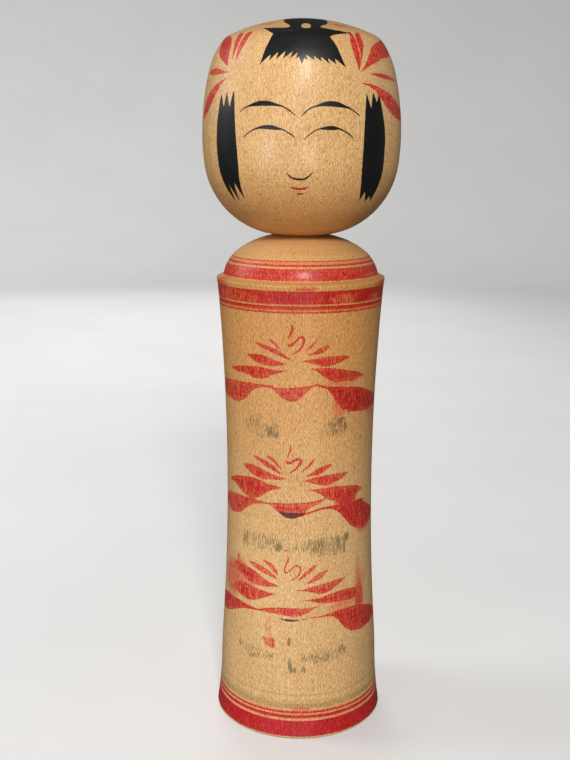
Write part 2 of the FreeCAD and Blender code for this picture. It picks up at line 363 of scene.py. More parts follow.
def build_piece(name, turned, close):
    """The mesh object of a turned surface, with its paint layers as vertex attributes."""
    bm = bmesh.new()
    places = np.clip(turned.points * MM, *CAD_BOX)
    vertices = [bm.verts.new(place) for place in places]
    columns = len(turned.columns)
    for corners in grid_faces(len(turned.rows), columns):
        bm.faces.new([vertices[i] for i in corners])
    close(bm, vertices[:columns], vertices[-columns:])
    bmesh.ops.recalc_face_normals(bm, faces=bm.faces)
    mesh = bpy.data.meshes.new(name)
    bm.to_mesh(mesh)
    bm.free()
    for layer, values in turned.layers.items():
        fill = FAR if layer.endswith(("_edge", "_half")) else 0.0
        padded = np.full(len(mesh.vertices), fill)
        padded[:len(values)] = values
        mesh.attributes.new(layer, "FLOAT", "POINT").data.foreach_set("value", padded)
    mesh.shade_smooth()
    mesh.set_sharp_from_angle(angle=SHADE_CORNER)
    piece = bpy.data.objects.new(name, mesh)
    bpy.context.scene.collection.objects.link(piece)
    return piece


# ------------------------------
# The head
# ------------------------------

# Row gaps are (height where a gap starts, gap), and columns (azimuth where a step starts, step).
HEAD_ROW_GAPS = [(216,1.2), (229,0.4), (234,0.33), (243,1.0), (254,0.32), (270,0.42), (274.5,0.6),
    (281,0.36), (296.3,0.6), (301.5,1.2)]
HEAD_COLUMNS = [(0, 0.54), (58, 1.0), (100, 4.0)]
SEAT_RADIUS = 10  # inside this radius, what is at the seat's height is the tenon
SEAT_BOTTOM = 215.9
SEAT_TOP = 216.1
HEAD_THIN = (SEAT_TOP, 1.3)  # above this height, rings nearer than this gap are left out
CROWN_FAN = 0.3  # the radius of the last ring, which a fan closes
TENON = [(6.4, 191.5), (8.0, 197.0), (9.6, 202.5), (8.0, 207.4), (8.0, 216.0)]
HEAD_TURN = -0.9  # the face is turned a little to its right
PETAL_EXTRA = 0.15  # dye added to what each petal's row says
CROWN_LOAD = 0.9

BROWS_EYES_NOSE = [
    [(-35,265.2,.08), (-32.7,266.45,.14), (-30.3,267.1,.2), (-27,267.65,.52), (-23.3,268.08,.86),
     (-20,268.1,.86), (-16.7,267.93,.68), (-13.3,267.45,.36), (-10,266.85,.17), (-6.7,265.5,.15),
     (-3.3,263.6,.06)],
    [(0,263.3,.06), (2.7,265.2,.15), (5.3,266.45,.17), (7.5,266.95,.2), (10,267.45,.45), (13.3,267.85,.82),
     (16.7,267.92,.92), (20,267.65,.85), (23.3,267.05,.5), (26.7,266.35,.2), (30,265,.15),
     (33.2,263.75,.05)],
    [(-32.8,255.5,.06), (-30,257,.12), (-26.7,258.3,.16), (-23.7,259,.26), (-21.3,259.25,.5),
     (-18,259.3,.72), (-15.3,259.1,.68), (-12.7,258.75,.42), (-10,258.4,.15), (-6.7,257.1,.15),
     (-4.7,256.2,.13), (-3.3,255.2,.05)],
    [(1.3,254.7,.05), (3.3,256,.1), (6.7,257.8,.13), (9.5,258.65,.16), (12,258.85,.45), (15.3,259,.68),
     (18,258.95,.6), (20.3,258.75,.25), (23.3,257.9,.16), (26.7,256.5,.16), (29.1,255.1,.06)],
    [(-7.9,242.1,.08), (-6.3,240.9,.17), (-4,240.1,.24), (-.7,239.8,.3), (2,240.05,.25), (4.3,241.1,.17),
     (6.3,242.4,.08)],
]
LIPS = [
    [(-6.3,236.9,.05), (-4,236.45,.3), (-1,236.1,.32), (2,236.35,.3), (4,236.85,.05)],
    [(1.1,234.4,.1), (-.8,234.2,.32), (-2.6,234.3,.1)],
]
LEFT_LOCK = [(-51.7,271), (-51,272.5), (-48.1,267), (-46.4,273.3), (-43.2,266.8), (-41,273.7),
    (-40.1,271.7), (-39.4,267.4), (-38.6,261.5), (-37.9,255.6), (-37.4,249.6), (-37.3,244.5),
    (-37.8,240.6), (-38.4,235.4), (-38.3,231.5), (-42.8,238.6), (-43.6,230.7), (-47.9,237.4),
    (-47.8,230.3), (-49.7,233.1), (-51.1,235), (-52.8,238.6), (-53.9,242.5), (-54.4,247.7), (-54.4,253.6),
    (-53.9,260.3), (-52.8,265.4)]
RIGHT_LOCK = [(37.7,270.2), (38.3,272.5), (41,266.6), (43.3,272.9), (46,269), (48,272.3), (48.9,271),
    (50.3,266.2), (51.9,261.5), (52.8,256.7), (53.3,249.6), (53.6,243.7), (53.5,239.8), (52.8,235.4),
    (51.9,232.3), (51.4,230.7), (48.6,233.1), (46.1,230.7), (42.2,234.8), (40.1,230.7), (40,231.9),
    (38.1,235.4), (36.7,239.4), (35.8,243.3), (35.6,247.7), (35.6,253.6), (36,260.3), (36.7,265.4)]
FRINGE = [(-24.9,282.3), (-18.4,286.2), (-19.4,283.55), (-14.1,287.1), (-15,284.1), (-9.7,287.4),
    (-10.9,284.3), (-5.6,287.1), (-6.9,284.3), (-2.4,286.85), (-3.6,284.2), (-1.8,285.3), (0,282),
    (1.4,284.7), (3.5,283.7), (2.3,286), (7.5,283.55), (6.6,285.6), (11.6,283.2), (10.7,285.3), (16,282.5),
    (15,284.8), (20.1,282.3), (19.1,284.8), (26.2,281), (24.4,283.8), (23,286.6), (21.9,288.9),
    (20.5,290.9), (18.2,292.9), (21.2,293.6), (25.9,294.2), (28,294.3)]
FRINGE_LEFT = [(-22.4,294.8), (-19.7,294.1), (-20.75,292.2), (-21.6,290.4), (-22.5,288.6), (-23.4,286.3),
    (-24,284.3)]
BUN_RIGHT = [(19.5, -25.6), (7.4, -27.9), (9.7, -22), (9.6, -14), (8.2, -8.5), (5.2, -5.2)]
BUN_LEFT = [(1.4,-4.2), (-3,-5.6), (-6,-9.4), (-7.2,-14), (-7,-20), (-5.0,-28.3), (-15.2,-24.2)]
BUN_GAP = [(-.3,-28.4), (.2,-29.4), (1.6,-29.8), (2.9,-29.4), (3.3,-27.6), (3.1,-25.4), (1.8,-24),
    (.4,-24.6), (-.2,-26.4)]
# Petals and motifs are strokes with their load of dye.
HEAD_PETALS = [
    ([(-46.2,285.2,.1), (-46.6,289,.9), (-47.4,292.3,1.5), (-48,294.8,1.3)], .95),
    ([(-42.6,283.6,.1), (-42.2,288,.9), (-41.2,291.5,1.5), (-40,294.8,1.3)], .95),
    ([(-49.2,282.6,.1), (-53.5,286.2,1.9), (-58.5,289.8,3.8), (-64,292.2,3.6), (-70,294,1.8)], 1.0),
    ([(-45.8,280.3,.08), (-52,280.5,.5), (-60,281,1.25), (-66,281.1,1.35), (-71,281.3,.8),
      (-74,281.4,.1)], .85),
    ([(-46.7,278.5,.08), (-52,277,.5), (-57.5,274.7,1.6), (-63,271.5,2.6), (-68,268.6,2.9),
      (-72.5,265.4,1.8), (-75.5,263,.2)], .9),
    ([(34.7,280.4,.1), (34.9,284.5,1.1), (34.6,289,1.55), (35,292.5,1.3), (35.6,295.6,.2)], 1.0),
    ([(37.2,284.4,.1), (38.8,287.8,.7), (40.4,291,1.5), (40.8,293.6,1.4), (44,295.6,.2)], 1.0),
    ([(36.1,280.2,.08), (42,283.2,1), (48,286,2.3), (54,288.2,3.1), (60,289.3,3.3), (68,290.3,3.6),
      (75,291.5,3), (81,292.3,.3)], .9),
    ([(37.5,279.8,.08), (45,279.6,.35), (52,279.3,.75), (58,279,.9), (65,278.6,.7), (76,277.9,.05)], .95),
    ([(35.3,275.9,.08), (41,275.3,.6), (46.5,274.1,1.1), (52,272,2.2), (58,269.7,3.2), (64,267.7,3.6),
      (70,266.1,3.1), (76,265.2,2.6), (83,264.3,1.4), (90,263.5,.1)], .9),
]
CROWN_STROKES = [
    [(-10.5,-19,.2), (-14.3,-17.7,.7), (-17.4,-15,.2)],
    [(-10.5,-19,.2), (-12.6,-20,.5), (-14.2,-20.5,.1)],
    [(11,-20.5,.2), (16,-19.5,.7), (21.4,-17,.2)],
    [(11,-20.5,.2), (13.8,-21.8,.5), (16.4,-22.6,.1)],
]


def head_is_outer(r, z):
    """Which points are on the head's outside, with its seat but not its tenon."""
    return (z > SEAT_TOP) | ((z > SEAT_BOTTOM) & (r > SEAT_RADIUS))


def build_head():
    rings = outer_rings("head", head_is_outer, *HEAD_THIN)
    rings = np.vstack([rings, [CROWN_FAN, TOP]])
    rows = fill_rows(rings, stepped(HEAD_ROW_GAPS))
    turned = Turned(rows, len(rows), spaced_columns(HEAD_COLUMNS), HEAD_TURN)
    paint_face(turned)
    paint_hair(turned)
    paint_ornaments(turned)
    turns = np.radians(turned.columns)

    def close(bm, bottom, top):
        """The crown's last fan, and the tenon below the head."""
        cap(bm, top, (0, 0, TOP * MM))
        ring = bottom
        for radius, height in reversed(TENON):
            ring_points = [(radius * math.sin(a), -radius * math.cos(a), height) for a in turns]
            below = [bm.verts.new([c * MM for c in p]) for p in ring_points]
            for i in range(len(turns)):
                k = (i + 1) % len(turns)
                bm.faces.new((below[i], below[k], ring[k], ring[i]))
            ring = below
        cap(bm, list(reversed(ring)), (0, 0, TENON[0][1] * MM))

    return build_piece("head_painted", turned, close)


def paint_face(head):
    for points in BROWS_EYES_NOSE:
        head.line(points)
    for points in LIPS:
        head.line(points, layer="lip")


def paint_hair(head):
    for lock in (LEFT_LOCK, RIGHT_LOCK):
        head.shape(head.on_sides(lock), layer="ink")
    outline = head.on_sides(FRINGE)
    bun = smooth_path([head.on_crown(x, y) + [0] for x, y in BUN_RIGHT + BUN_LEFT])
    outline += bun[:, :3].tolist()
    outline += head.on_sides(FRINGE_LEFT)
    head.shape(outline, layer="ink")
    head.cut(smooth_loop([head.on_crown(x, y) for x, y in BUN_GAP]), layer="ink")


def paint_ornaments(head):
    for points, load in HEAD_PETALS:
        head.stroke(points, load + PETAL_EXTRA)
    for points in CROWN_STROKES:
        sides = [(math.degrees(math.atan2(x, -y)), head.on_crown(x, y)[2], w)
                 for x, y, w in points]
        head.stroke(sides, CROWN_LOAD)


# ------------------------------
# The body
# ------------------------------

BODY_ROW_GAPS = [(0,0.5), (8,0.18), (16.2,0.9), (24,2.0), (39,0.65), (70,0.48), (84,2.0), (93,0.65),
    (117,0.48), (132.5,2.0), (142,0.65), (165,0.48), (184,0.9), (186.5,0.18), (191.4,0.8), (195,0.18),
    (196.5,0.8), (199.3,0.18), (200.2,1.0), (203.8,0.18), (207.6,1.0), (212,1.4)]
BODY_COLUMNS = [(0, 0.56), (14, 1.13), (86, 5.2)]
BODY_THIN = (209.7, 0.9)
MOUTH_AND_CAVITY = [(8.05, 216.0), (8.05, 208.0), (12.0, 204.4), (12.0, 190.0)]
CAVITY_BOTTOM = 186.0
CAVITY_WALL = 12.1  # what is inside this radius is the socket
SIDE_BOTTOM = 0.8  # what is under this height is the foot's underside
HOLLOW = (14, 4)  # inside this radius and under this height is the base's hollow
LIP = (10.9, 215.95)  # outside this radius and above this height is the dome's top
UNDER_RADIUS = 36.8  # the faces of the underside lie inside this radius
UNDER_TOP = 4.0  # and under this height
MOTIF_EXTRA = 0.1  # dye added to what each stroke's row says
CRESCENT_LOAD = 0.88
RIM_LOAD = 1.1
DRIP_LOAD = 0.7

# Bands are (low, high, load).
RED_BANDS = [(1.3,8.2,1.7), (8.2,9.5,.3), (9.5,10.9,1.4), (10.9,11.7,.36), (11.7,12.6,1.3),
    (12.6,13.6,.28), (187.0,187.5,1.4), (187.5,188.7,.34), (188.7,190.0,1.35), (190.7,196.0,1.4),
    (199.7,204.4,1.08), (205.2,206.0,1.15), (206.0,207.0,.36), (207.0,207.4,1.2)]
OLIVE_BANDS = [(13.8,16.1,.72), (16.1,17.3,.35), (17.3,18,.55), (19.7,20,.6), (20.6,20.8,.4)]

MOTIF_TOP = [
    ([(-6.8,182.3,.3), (-6.1,180.9,.6), (-7.3,178.8,.5), (-8.8,176.7,.15)], 1.0),
    ([(-8.8,173.9,.5), (-6.8,174.2,.7), (-4.1,175.5,.5), (-1.4,177.1,.5), (.3,177.6,.55), (1.6,176.5,.6),
      (.9,174.4,.5), (-.9,172.3,.4), (-4.1,170.9,.35), (-6.8,170.2,.1)], 1.0),
    ([(-24.3,176.4,.08), (-20.6,175.3,.5), (-17,173.5,.5), (-13.6,171.6,.08)], .8),
    ([(-35,174.6,0), (-29,173.3,.75), (-22.5,172.1,.95), (-16.5,170.7,.9), (-10.5,168.9,.5),
      (-5.5,167.3,.05)], .85),
    ([(-41.8,168.9,0), (-36,168.1,1.2), (-29,167.3,2), (-22,166.5,1.7), (-15,166.1,.8),
      (-9.1,166.2,.05)], .85),
    ([(-61.4,161.5,0), (-52,161.7,1.2), (-42,162,1.7), (-34,161.6,2.6), (-27,161.7,2.2), (-20,162.5,1),
      (-9.1,163.4,.08)], .9),
    ([(-84,151,.5), (-75,151.5,3.5), (-65,151.8,4), (-56,151.8,4.6), (-47,153,3.5), (-39,155.1,1.7),
      (-30,156.1,.7), (-22,156.3,.5), (-18.6,155.8,.1)], .78),
    ([(1.8,171.2,.08), (4.8,172.6,.4), (8,174.4,.45), (11.2,176.6,.08)], .8),
    ([(.5,169.9,.08), (7.7,170.4,.5), (13,171.6,1.1), (17.5,172.8,.8), (20.5,173.9,0)], .8),
    ([(-3.2,167.3,.05), (4,167.4,.5), (11,167.2,1.3), (18,167,2), (25,167.4,1.7), (31,167.9,1.1),
      (37.7,168.2,0)], .85),
    ([(4.1,164.2,.05), (11,163.8,.6), (18,162.4,2), (25,161,2.8), (33,160.4,2.4), (42,159.7,1.9),
      (48,159.6,.9), (53.2,159.1,0)], .95),
    ([(10,157.3,.2), (15,156.6,.5), (20,155.7,.8), (26,153.9,2.2), (33,151.4,4.2), (41,149.9,5.2),
      (49,148.8,5), (57,147.8,4.4), (65,147,3.4), (74,146.4,2), (82,146,.3)], 1.05),
    ([(32,148,.5), (32.6,145,.4), (33.4,142.4,.05)], .7),
    ([(37,146.8,.5), (37.8,143.6,.05)], .8),
    ([(58,145.2,.5), (59.5,142.6,.3), (60,140.8,.05)], .6),
    ([(-64,155,.3), (-63.6,158.2,.05)], .6),
]
MOTIF_MIDDLE = [
    ([(-7.7,131.9,.1), (-7.5,129.8,.35), (-8.5,128.3,.35), (-9.7,126.2,.08)], .9),
    ([(-10.7,125.2,.15), (-9.5,124,.65), (-6.8,124.2,.6), (-4.1,125.3,.55), (-1.4,125.7,.5), (.2,124.8,.6),
      (-.9,123.3,.6), (-3.2,121.6,.5), (-5.9,120.4,.35), (-9.5,119.2,.08)], .9),
    ([(-27.7,126.6,0), (-23.5,125.6,.65), (-20,124.3,.7), (-16.5,122.2,.5), (-12.7,120.3,.05)], .85),
    ([(-39.5,125.5,0), (-34,124.6,.7), (-28,123.3,1.1), (-22,121.6,1.1), (-17.5,119.9,.6),
      (-12,118.6,.05)], .85),
    ([(-49.1,120.5,0), (-43,119.8,1.5), (-36,118.9,2.3), (-29,117.8,2), (-22,117.3,1.3), (-15,117,.6),
      (-8.6,117.05,.05)], .85),
    ([(-68,111.3,.6), (-57,112,2), (-47,111.2,3.9), (-38,111.1,4.5), (-30,112,2.7), (-22.5,112.6,1.3),
      (-13.2,113,.05)], .9),
    ([(-80,100,2), (-68,100.8,4.2), (-56,101.8,4.1), (-47,103.6,2.4), (-38,105,1.1), (-30,105.3,.5),
      (-24,105.2,.3)], .82),
    ([(.3,120,.1), (5,122.2,.5), (8,124,.55), (10.5,125.6,.1)], .85),
    ([(2.3,118,.05), (7.7,118.8,.6), (13,120,1.3), (17.5,121.2,1.2), (21.5,122.2,.7), (25,123,0)], .85),
    ([(-2.3,116.3,.05), (5,116.3,.5), (12,116.1,1.6), (19,116.1,2.2), (27,116.5,1.8), (33,117.2,1.1),
      (40,118.2,0)], .85),
    ([(2.3,112.2,.05), (10.5,112,.5), (18,111,1.7), (25,109.8,3), (33,109.3,3.2), (42,108.9,2.8),
      (49,109,1.8), (56.8,108.8,0)], .95),
    ([(-1,100.6,.3), (3,101.5,.4), (9.5,102.7,.45), (16.8,103.7,.5), (24,103.8,.75), (31,102.9,1.6),
      (38,101.1,3.1), (45,99.2,4.9), (52,97.4,6), (59,96,5.7), (66,95,4.4), (75,94.5,2.4),
      (83,94.5,.5)], 1.05),
]
MOTIF_BOTTOM = [
    ([(-9.4,83.6,.1), (-8.7,81.4,.45), (-10.3,79.2,.4), (-11.5,77,.35), (-10.7,75.4,.38), (-8.5,76,.35),
      (-6.8,76.9,.35), (-4.1,78.4,.4), (-1.4,78.8,.4), (.3,77.4,.42), (0,75.8,.42), (-2.3,73.7,.38),
      (-5.9,72.3,.32), (-10,71.6,.1)], .95),
    ([(-30.3,80.2,0), (-26,79.1,.7), (-22,77.8,1), (-19,75.9,.8), (-15.5,73.4,.05)], .8),
    ([(-43.2,77.9,0), (-37.5,76.9,.9), (-31,75.8,1.3), (-25,74.6,1.1), (-19.5,73,.6), (-15,71.4,.05)], .8),
    ([(-59,73.4,1), (-51,72.8,2.5), (-43,71.8,3.1), (-36,70.8,2.9), (-29,69.8,1.9), (-22,69.3,.9),
      (-15,69.2,.05)], .85),
    ([(-57,64.2,1.4), (-50,63.9,3), (-42,63.5,3.5), (-35,63.8,2.7), (-28,64.4,1.5), (-22,65,.6),
      (-15,65.5,.05)], .9),
    ([(-86,51.5,3), (-76,52.8,4), (-67,54,3.9), (-57,55.5,2.7), (-47,56.4,1.4), (-38,56.7,.6),
      (-29,56.9,.3)], 1.0),
    ([(-2.3,71.6,.05), (1.4,73.5,.5), (6.5,76,.9), (10.5,78,.6), (13.9,79.5,0)], .8),
    ([(2.7,70.2,.05), (8,71.6,.6), (13.5,73.4,1.2), (18,75,.9), (22.7,76.4,0)], .8),
    ([(-4.5,67.5,.05), (3,67.8,.4), (10,68,1.4), (17,67.8,2.2), (24,68.9,1.8), (31,70.2,.9),
      (37.7,71.2,0)], .85),
    ([(1.4,63.1,.05), (9,63.1,.5), (17,62.7,1.4), (25,63.2,2.1), (34,63.2,2.5), (43,62.8,2.6),
      (50,62.9,1.8), (57.7,62.9,.1)], .9),
    ([(0,54.4,.2), (7.7,55.2,.3), (17,55.6,.4), (25,55.7,1), (31,54.9,2.2), (37,53.2,4), (44,51.3,5.6),
      (52,50,5.4), (60,49.2,4.6), (70,48,3.4), (80,46.5,.8)], 1.0),
    ([(-57,73.5,.8), (-56,77,.05)], .8),
    ([(-51.5,74,.7), (-50.5,78.6,.05)], .8),
    ([(-46.5,73.5,.6), (-46,77.4,.05)], .8),
]
CRESCENTS = [
    [(-21.4,155.6), (-10.5,155.8), (-1.4,156.5), (5,156.9), (13.2,158), (7.7,156.1), (4.1,154.5),
     (.5,152.3), (-3.2,150.6), (-8.6,150.6), (-14.1,151.8), (-17.7,154)],
    [(-25,105.6), (-19.5,106.1), (-10.5,106.1), (-1.4,106.6), (5.9,106.8), (12.3,107.4), (20.5,108.4),
     (14.1,106), (7.7,104.4), (4.1,102.8), (2,102), (-16,102.2), (-19.5,103.3)],
    [(-29.5,57.2), (-24.1,58.6), (-15,59.4), (-5.9,59.5), (3.2,59.6), (9.5,59.9), (15.9,60.3), (10.5,59.1),
     (4.1,57.2), (-1.4,56), (-8.6,56), (-15,56.4), (-24.1,56.7)],
]
CRESCENT_RIMS = [
    [(-26,156.6,.1), (-20,155.6,.4), (-10.5,155.5,.5), (-1.4,156,.5), (5,156.6,.4), (10,157.4,.25),
     (15.5,158.4,.05)],
    [(-25,105.4,.2), (-18,105.7,.5), (-10.5,105.6,.6), (-1.4,106,.6), (5.9,106.4,.5), (13,107.2,.35),
     (21.5,108.6,.05)],
    [(-31,57.2,.2), (-24,58.2,.45), (-15,59,.5), (-5.9,59.2,.45), (3.2,59.3,.4), (10,59.7,.3),
     (18,60.5,.05)],
]
DRIP = [(-27.5,45.5), (-24.1,45.1), (-19.5,45.9), (-17.7,44), (-18.2,41.8), (-20,40.75), (-24.1,41.8),
    (-27.3,44)]
PLUM_HEART = [(-17.5,102.7), (-10.5,102.2), (-1.4,102.2), (4.2,102.2), (-.2,100.7), (-5,99.6), (-11,100)]
PLUM_STROKES = [
    [(-17.5,55,.05), (-12.3,54.4,.4), (-6.8,54.1,.55), (-1.4,54.4,.35), (2.5,54.8,.05)],
]
# Soft patches: (azimuth, height, half-azimuth, half-height, load).
PINK_SMEARS = [(32,157.5,14,1.4,.4), (29,147.5,6,5,.5), (66,142.5,6,3.5,.35), (24,159.5,8,3.5,.3),
    (22,113,6,3.2,.35), (36,104.8,9,1.6,.4), (38,106,10,2.4,1.25), (50,103.2,9,1.1,1.5), (58,91.5,9,3,.6),
    (-52,67,16,4,.6), (-62,67,12,8,.72), (-54,75,2.4,4.5,.7), (-48,75,1.8,3.5,.55), (34,59,12,2.2,.5),
    (51.5,60,5.4,7.5,.95), (51,67,4,7,.6), (50,74,2.8,6,.34), (57,68,4,4,.3), (-23.2,50,2.8,4.5,.25),
    (1,12.5,8,2.2,.65), (3,197.2,7,1.2,.75), (-68,194.5,11,5,.7), (68,197,8,1.4,.45), (-23,188.4,8,.8,.3)]
WORN_PATCHES = [(29,192.6,11,2.4,.9), (60,192,8,2.2,.85), (-52,192.8,26,3,.8), (-3,195,7,1,.5),
    (-30,161.5,9,3,.3), (34,160,10,3,.3), (-45,111,12,3.5,.3), (30,109,12,3,.3)]
GREEN_SMEARS = [(-30,139,16,6,.3), (-22.5,136.6,4.5,2.3,.85), (-18.5,135.3,1.6,.9,1.0),
    (-12.5,135,3,.5,.8), (-8.5,151.4,6,.6,.45), (27,138.5,10,4,.5), (30,141.2,6,.7,.8),
    (35,139.5,1.3,2.2,.9), (-30,88,20,4.2,.35), (-23,88.6,5,1.5,.55), (-16.5,86.3,3.2,1.7,1.0),
    (-9,85.3,3,.5,.7), (0,86.3,10,1.3,.45), (8,88,7,2.4,.5), (-47.5,87.5,1.3,4,.7), (-44.2,87.5,1.2,4,.7),
    (22,86.5,17,4.6,.5), (29.5,87.5,2,3.5,.85), (37.5,89.5,3,1.8,.95), (35.7,85,1.2,3.2,.9),
    (-33,37.5,15,3.2,.3), (-21,37.2,2.2,1.6,.85), (-34,35.3,4,1.1,.6), (-48,39.5,1.8,2,.6),
    (19,37.5,17,3,.35), (12,36.4,3,1.3,.7), (19,36.4,4,1.4,.65), (3,37.6,1.2,.9,.8), (32,39,4.5,2.2,.65),
    (-7.6,44.5,1.1,2.2,1.15), (-7.2,34.6,1,1.8,1.1), (-6.2,32.4,1,1.8,1.05), (-4.2,31.8,1.6,1.3,.9),
    (3,32,1.5,1.6,.85)]


def body_is_outer(r, z):
    """Which points are on the body's outside, and not in its socket or under it."""
    hollow = (r < HOLLOW[0]) & (z < HOLLOW[1])
    lip = (r > LIP[0]) & (z > LIP[1])
    return ((r > CAVITY_WALL) & (z > SIDE_BOTTOM) & ~hollow) | lip


def build_body():
    rings = outer_rings("body", body_is_outer, *BODY_THIN)
    outer = fill_rows(rings, stepped(BODY_ROW_GAPS))
    rows = np.vstack([outer, MOUTH_AND_CAVITY])
    turned = Turned(rows, len(outer), spaced_columns(BODY_COLUMNS))
    paint_body(turned)

    def close(bm, bottom, top):
        """The bottom of the socket, and the CAD node's own underside."""
        cap(bm, top, (0, 0, CAVITY_BOTTOM * MM))
        join_underside(bm, bottom)

    return build_piece("body_painted", turned, close)


def join_underside(bm, ring):
    """Copy the faces under the foot from the CAD node and join them to the side's first ring."""
    source = bmesh.new()
    source.from_mesh(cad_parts["body"].data)
    bmesh.ops.remove_doubles(source, verts=source.verts, dist=1e-6)
    radius, top = UNDER_RADIUS * MM, UNDER_TOP * MM
    under = [f for f in source.faces
             if all(v.co.z < top and math.hypot(v.co.x, v.co.y) < radius for v in f.verts)]
    copies = {}
    for face in under:
        for vertex in face.verts:
            if vertex not in copies:
                copies[vertex] = bm.verts.new(vertex.co)
    new_faces = [bm.faces.new([copies[v] for v in face.verts]) for face in under]
    source.free()
    open_edges = {e for f in new_faces for e in f.edges if e.is_boundary}
    open_edges |= {e for v in ring for e in v.link_edges if e.is_boundary}
    bmesh.ops.bridge_loops(bm, edges=list(open_edges))


def paint_body(body):
    for motif in (MOTIF_TOP, MOTIF_MIDDLE, MOTIF_BOTTOM):
        for points, load in motif:
            body.stroke(points, load + MOTIF_EXTRA)
    for corners in CRESCENTS:
        body.shape(smooth_loop(body.on_sides(corners)), CRESCENT_LOAD)
    for points in CRESCENT_RIMS:
        body.stroke(points, RIM_LOAD)
    body.shape(smooth_loop(body.on_sides(DRIP)), DRIP_LOAD)
    for low, high, load in RED_BANDS:
        body.band(low, high, load)
    for low, high, load in OLIVE_BANDS:
        body.band(low, high, load, layer="olive")
    body.shape(smooth_loop(body.on_sides(PLUM_HEART)), layer="plum")
    for points in PLUM_STROKES:
        body.stroke(points, layer="plum")
    for patch in PINK_SMEARS:
        body.smear(*patch)
    for patch in WORN_PATCHES:
        body.smear(*patch, layer="worn")
    for patch in GREEN_SMEARS:
        body.smear(*patch, layer="green")


# ------------------------------
# Materials
# ------------------------------

WOOD_PALE = (0.80, 0.53, 0.256)
WOOD_DEEP = (0.53, 0.286, 0.10)
# the tint of the darkening over height; under the head's chin it is painted shade
DARKENED_TINT = (0.86, 0.66, 0.46)
RED_TINT = (0.93, 0.135, 0.18)
CRIMSON_TINT = (0.70, 0.2, 0.52)
CRIMSON_START = 0.75  # a load of red above this turns crimson
LIP_TINT = (0.62, 0.05, 0.05)
GREEN_TINT = (0.24, 0.30, 0.32)
OLIVE_TINT = (0.56, 0.60, 0.49)
PLUM_TINT = (0.13, 0.03, 0.12)
INK = (0.006, 0.006, 0.006)
NOISE_RANGE = (0.3, 0.7)  # most of a noise lies in here
GRAIN_LINES = 250  # the wavy lines round the doll
BODY_GRAIN = 1.25  # how strongly the grain shows
HEAD_GRAIN = 1.0

# How much darker the wood is made over height: (height where a ramp starts, where it ends, amounts there).
# darker and more orange up the body to the shoulder, and less so on the dome
BODY_DARKENED = [(70, 192, 0, 1), (197, 203, 1, .48)]
# painted shade under the head's chin, fading up towards the cheeks
HEAD_CHIN_SHADE = [(218, 252, 1, .17)]


class Graph:
    """Short calls for building a material's nodes."""

    def __init__(self, name):
        self.material = bpy.data.materials.new(name)
        self.material.use_nodes = True
        self.nodes = self.material.node_tree.nodes
        self.links = self.material.node_tree.links
        self.nodes.clear()

    def put(self, value, socket):
        """Set a socket to a number or colour, or link it to another node's output."""
        if isinstance(value, bpy.types.NodeSocket):
            self.links.new(value, socket)
        elif isinstance(value, tuple) and len(value) == 3 and socket.type == "RGBA":
            socket.default_value = (*value, 1.0)
        else:
            socket.default_value = value

    def fill(self, node, values):
        """Set a node's inputs by name."""
        for name, value in values.items():
            self.put(value, node.inputs[name])

    def math(self, operation, a, b=0.0, clamp=False):
        node = self.nodes.new("ShaderNodeMath")
        node.operation = operation
        node.use_clamp = clamp
        self.put(a, node.inputs[0])
        self.put(b, node.inputs[1])
        return node.outputs[0]

    def plus(self, a, b):
        return self.math("ADD", a, b)

    def times(self, a, b):
        return self.math("MULTIPLY", a, b)

    def scale(self, value, low, high, to_low, to_high, smooth=True):
        """Map a range to another, held at both ends."""
        node = self.nodes.new("ShaderNodeMapRange")
        node.interpolation_type = "SMOOTHSTEP" if smooth else "LINEAR"
        for socket, number in zip(node.inputs, (value, low, high, to_low, to_high)):
            self.put(number, socket)
        return node.outputs[0]

    def spread(self, noise, to_low, to_high, smooth=True):
        """Map a noise's usual range to another."""
        return self.scale(noise, *NOISE_RANGE, to_low, to_high, smooth)

    def mix(self, factor, a, b, blend="MIX"):
        node = self.nodes.new("ShaderNodeMix")
        node.data_type = "RGBA"
        node.blend_type = blend
        node.clamp_factor = True
        self.put(factor, node.inputs["Factor"])
        self.put(a, node.inputs[6])
        self.put(b, node.inputs[7])
        return node.outputs[2]

    def dye(self, color, load, tint):
        """Dye that soaks in: the colour is multiplied by the tint as far as the load goes."""
        return self.mix(load, color, tint, blend="MULTIPLY")

    def attribute(self, name):
        """A paint layer of the mesh."""
        node = self.nodes.new("ShaderNodeAttribute")
        node.attribute_name = name
        return node.outputs["Fac"]

    def where(self):
        """The place on the object, in metres."""
        return self.nodes.new("ShaderNodeTexCoord").outputs["Object"]

    def where_parts(self):
        """The X, Y and Z of the place on the object, in metres."""
        node = self.nodes.new("ShaderNodeSeparateXYZ")
        self.put(self.where(), node.inputs[0])
        return node.outputs

    def height(self):
        """Height above the floor, in mm."""
        return self.math("DIVIDE", self.where_parts()["Z"], MM)

    def noise(self, across, along, detail=2.0, roughness=0.5, warp=0.0):
        """Noise whose grains have a size in mm across and along the doll's axis."""
        stretch = self.nodes.new("ShaderNodeVectorMath")
        stretch.operation = "MULTIPLY"
        self.put(self.where(), stretch.inputs[0])
        self.put((1 / (across * MM), 1 / (across * MM), 1 / (along * MM)), stretch.inputs[1])
        node = self.nodes.new("ShaderNodeTexNoise")
        self.fill(node, {"Vector": stretch.outputs[0], "Scale": 1.0, "Detail": detail,
                         "Roughness": roughness, "Distortion": warp})
        return node.outputs["Fac"]

    def ripple(self, lines, sway):
        """Waves from -1 to 1 that cross fine lines up the surface, evenly spaced round it."""
        parts = self.where_parts()
        turn = self.math("ARCTAN2", parts["X"], self.times(parts["Y"], -1.0))
        phase = self.plus(self.times(turn, float(lines)), sway)
        return self.math("SINE", phase)

    def principled(self):
        """A Principled shader, linked to the material's surface."""
        shader = self.nodes.new("ShaderNodeBsdfPrincipled")
        output = self.nodes.new("ShaderNodeOutputMaterial")
        self.links.new(shader.outputs[0], output.inputs["Surface"])
        return shader


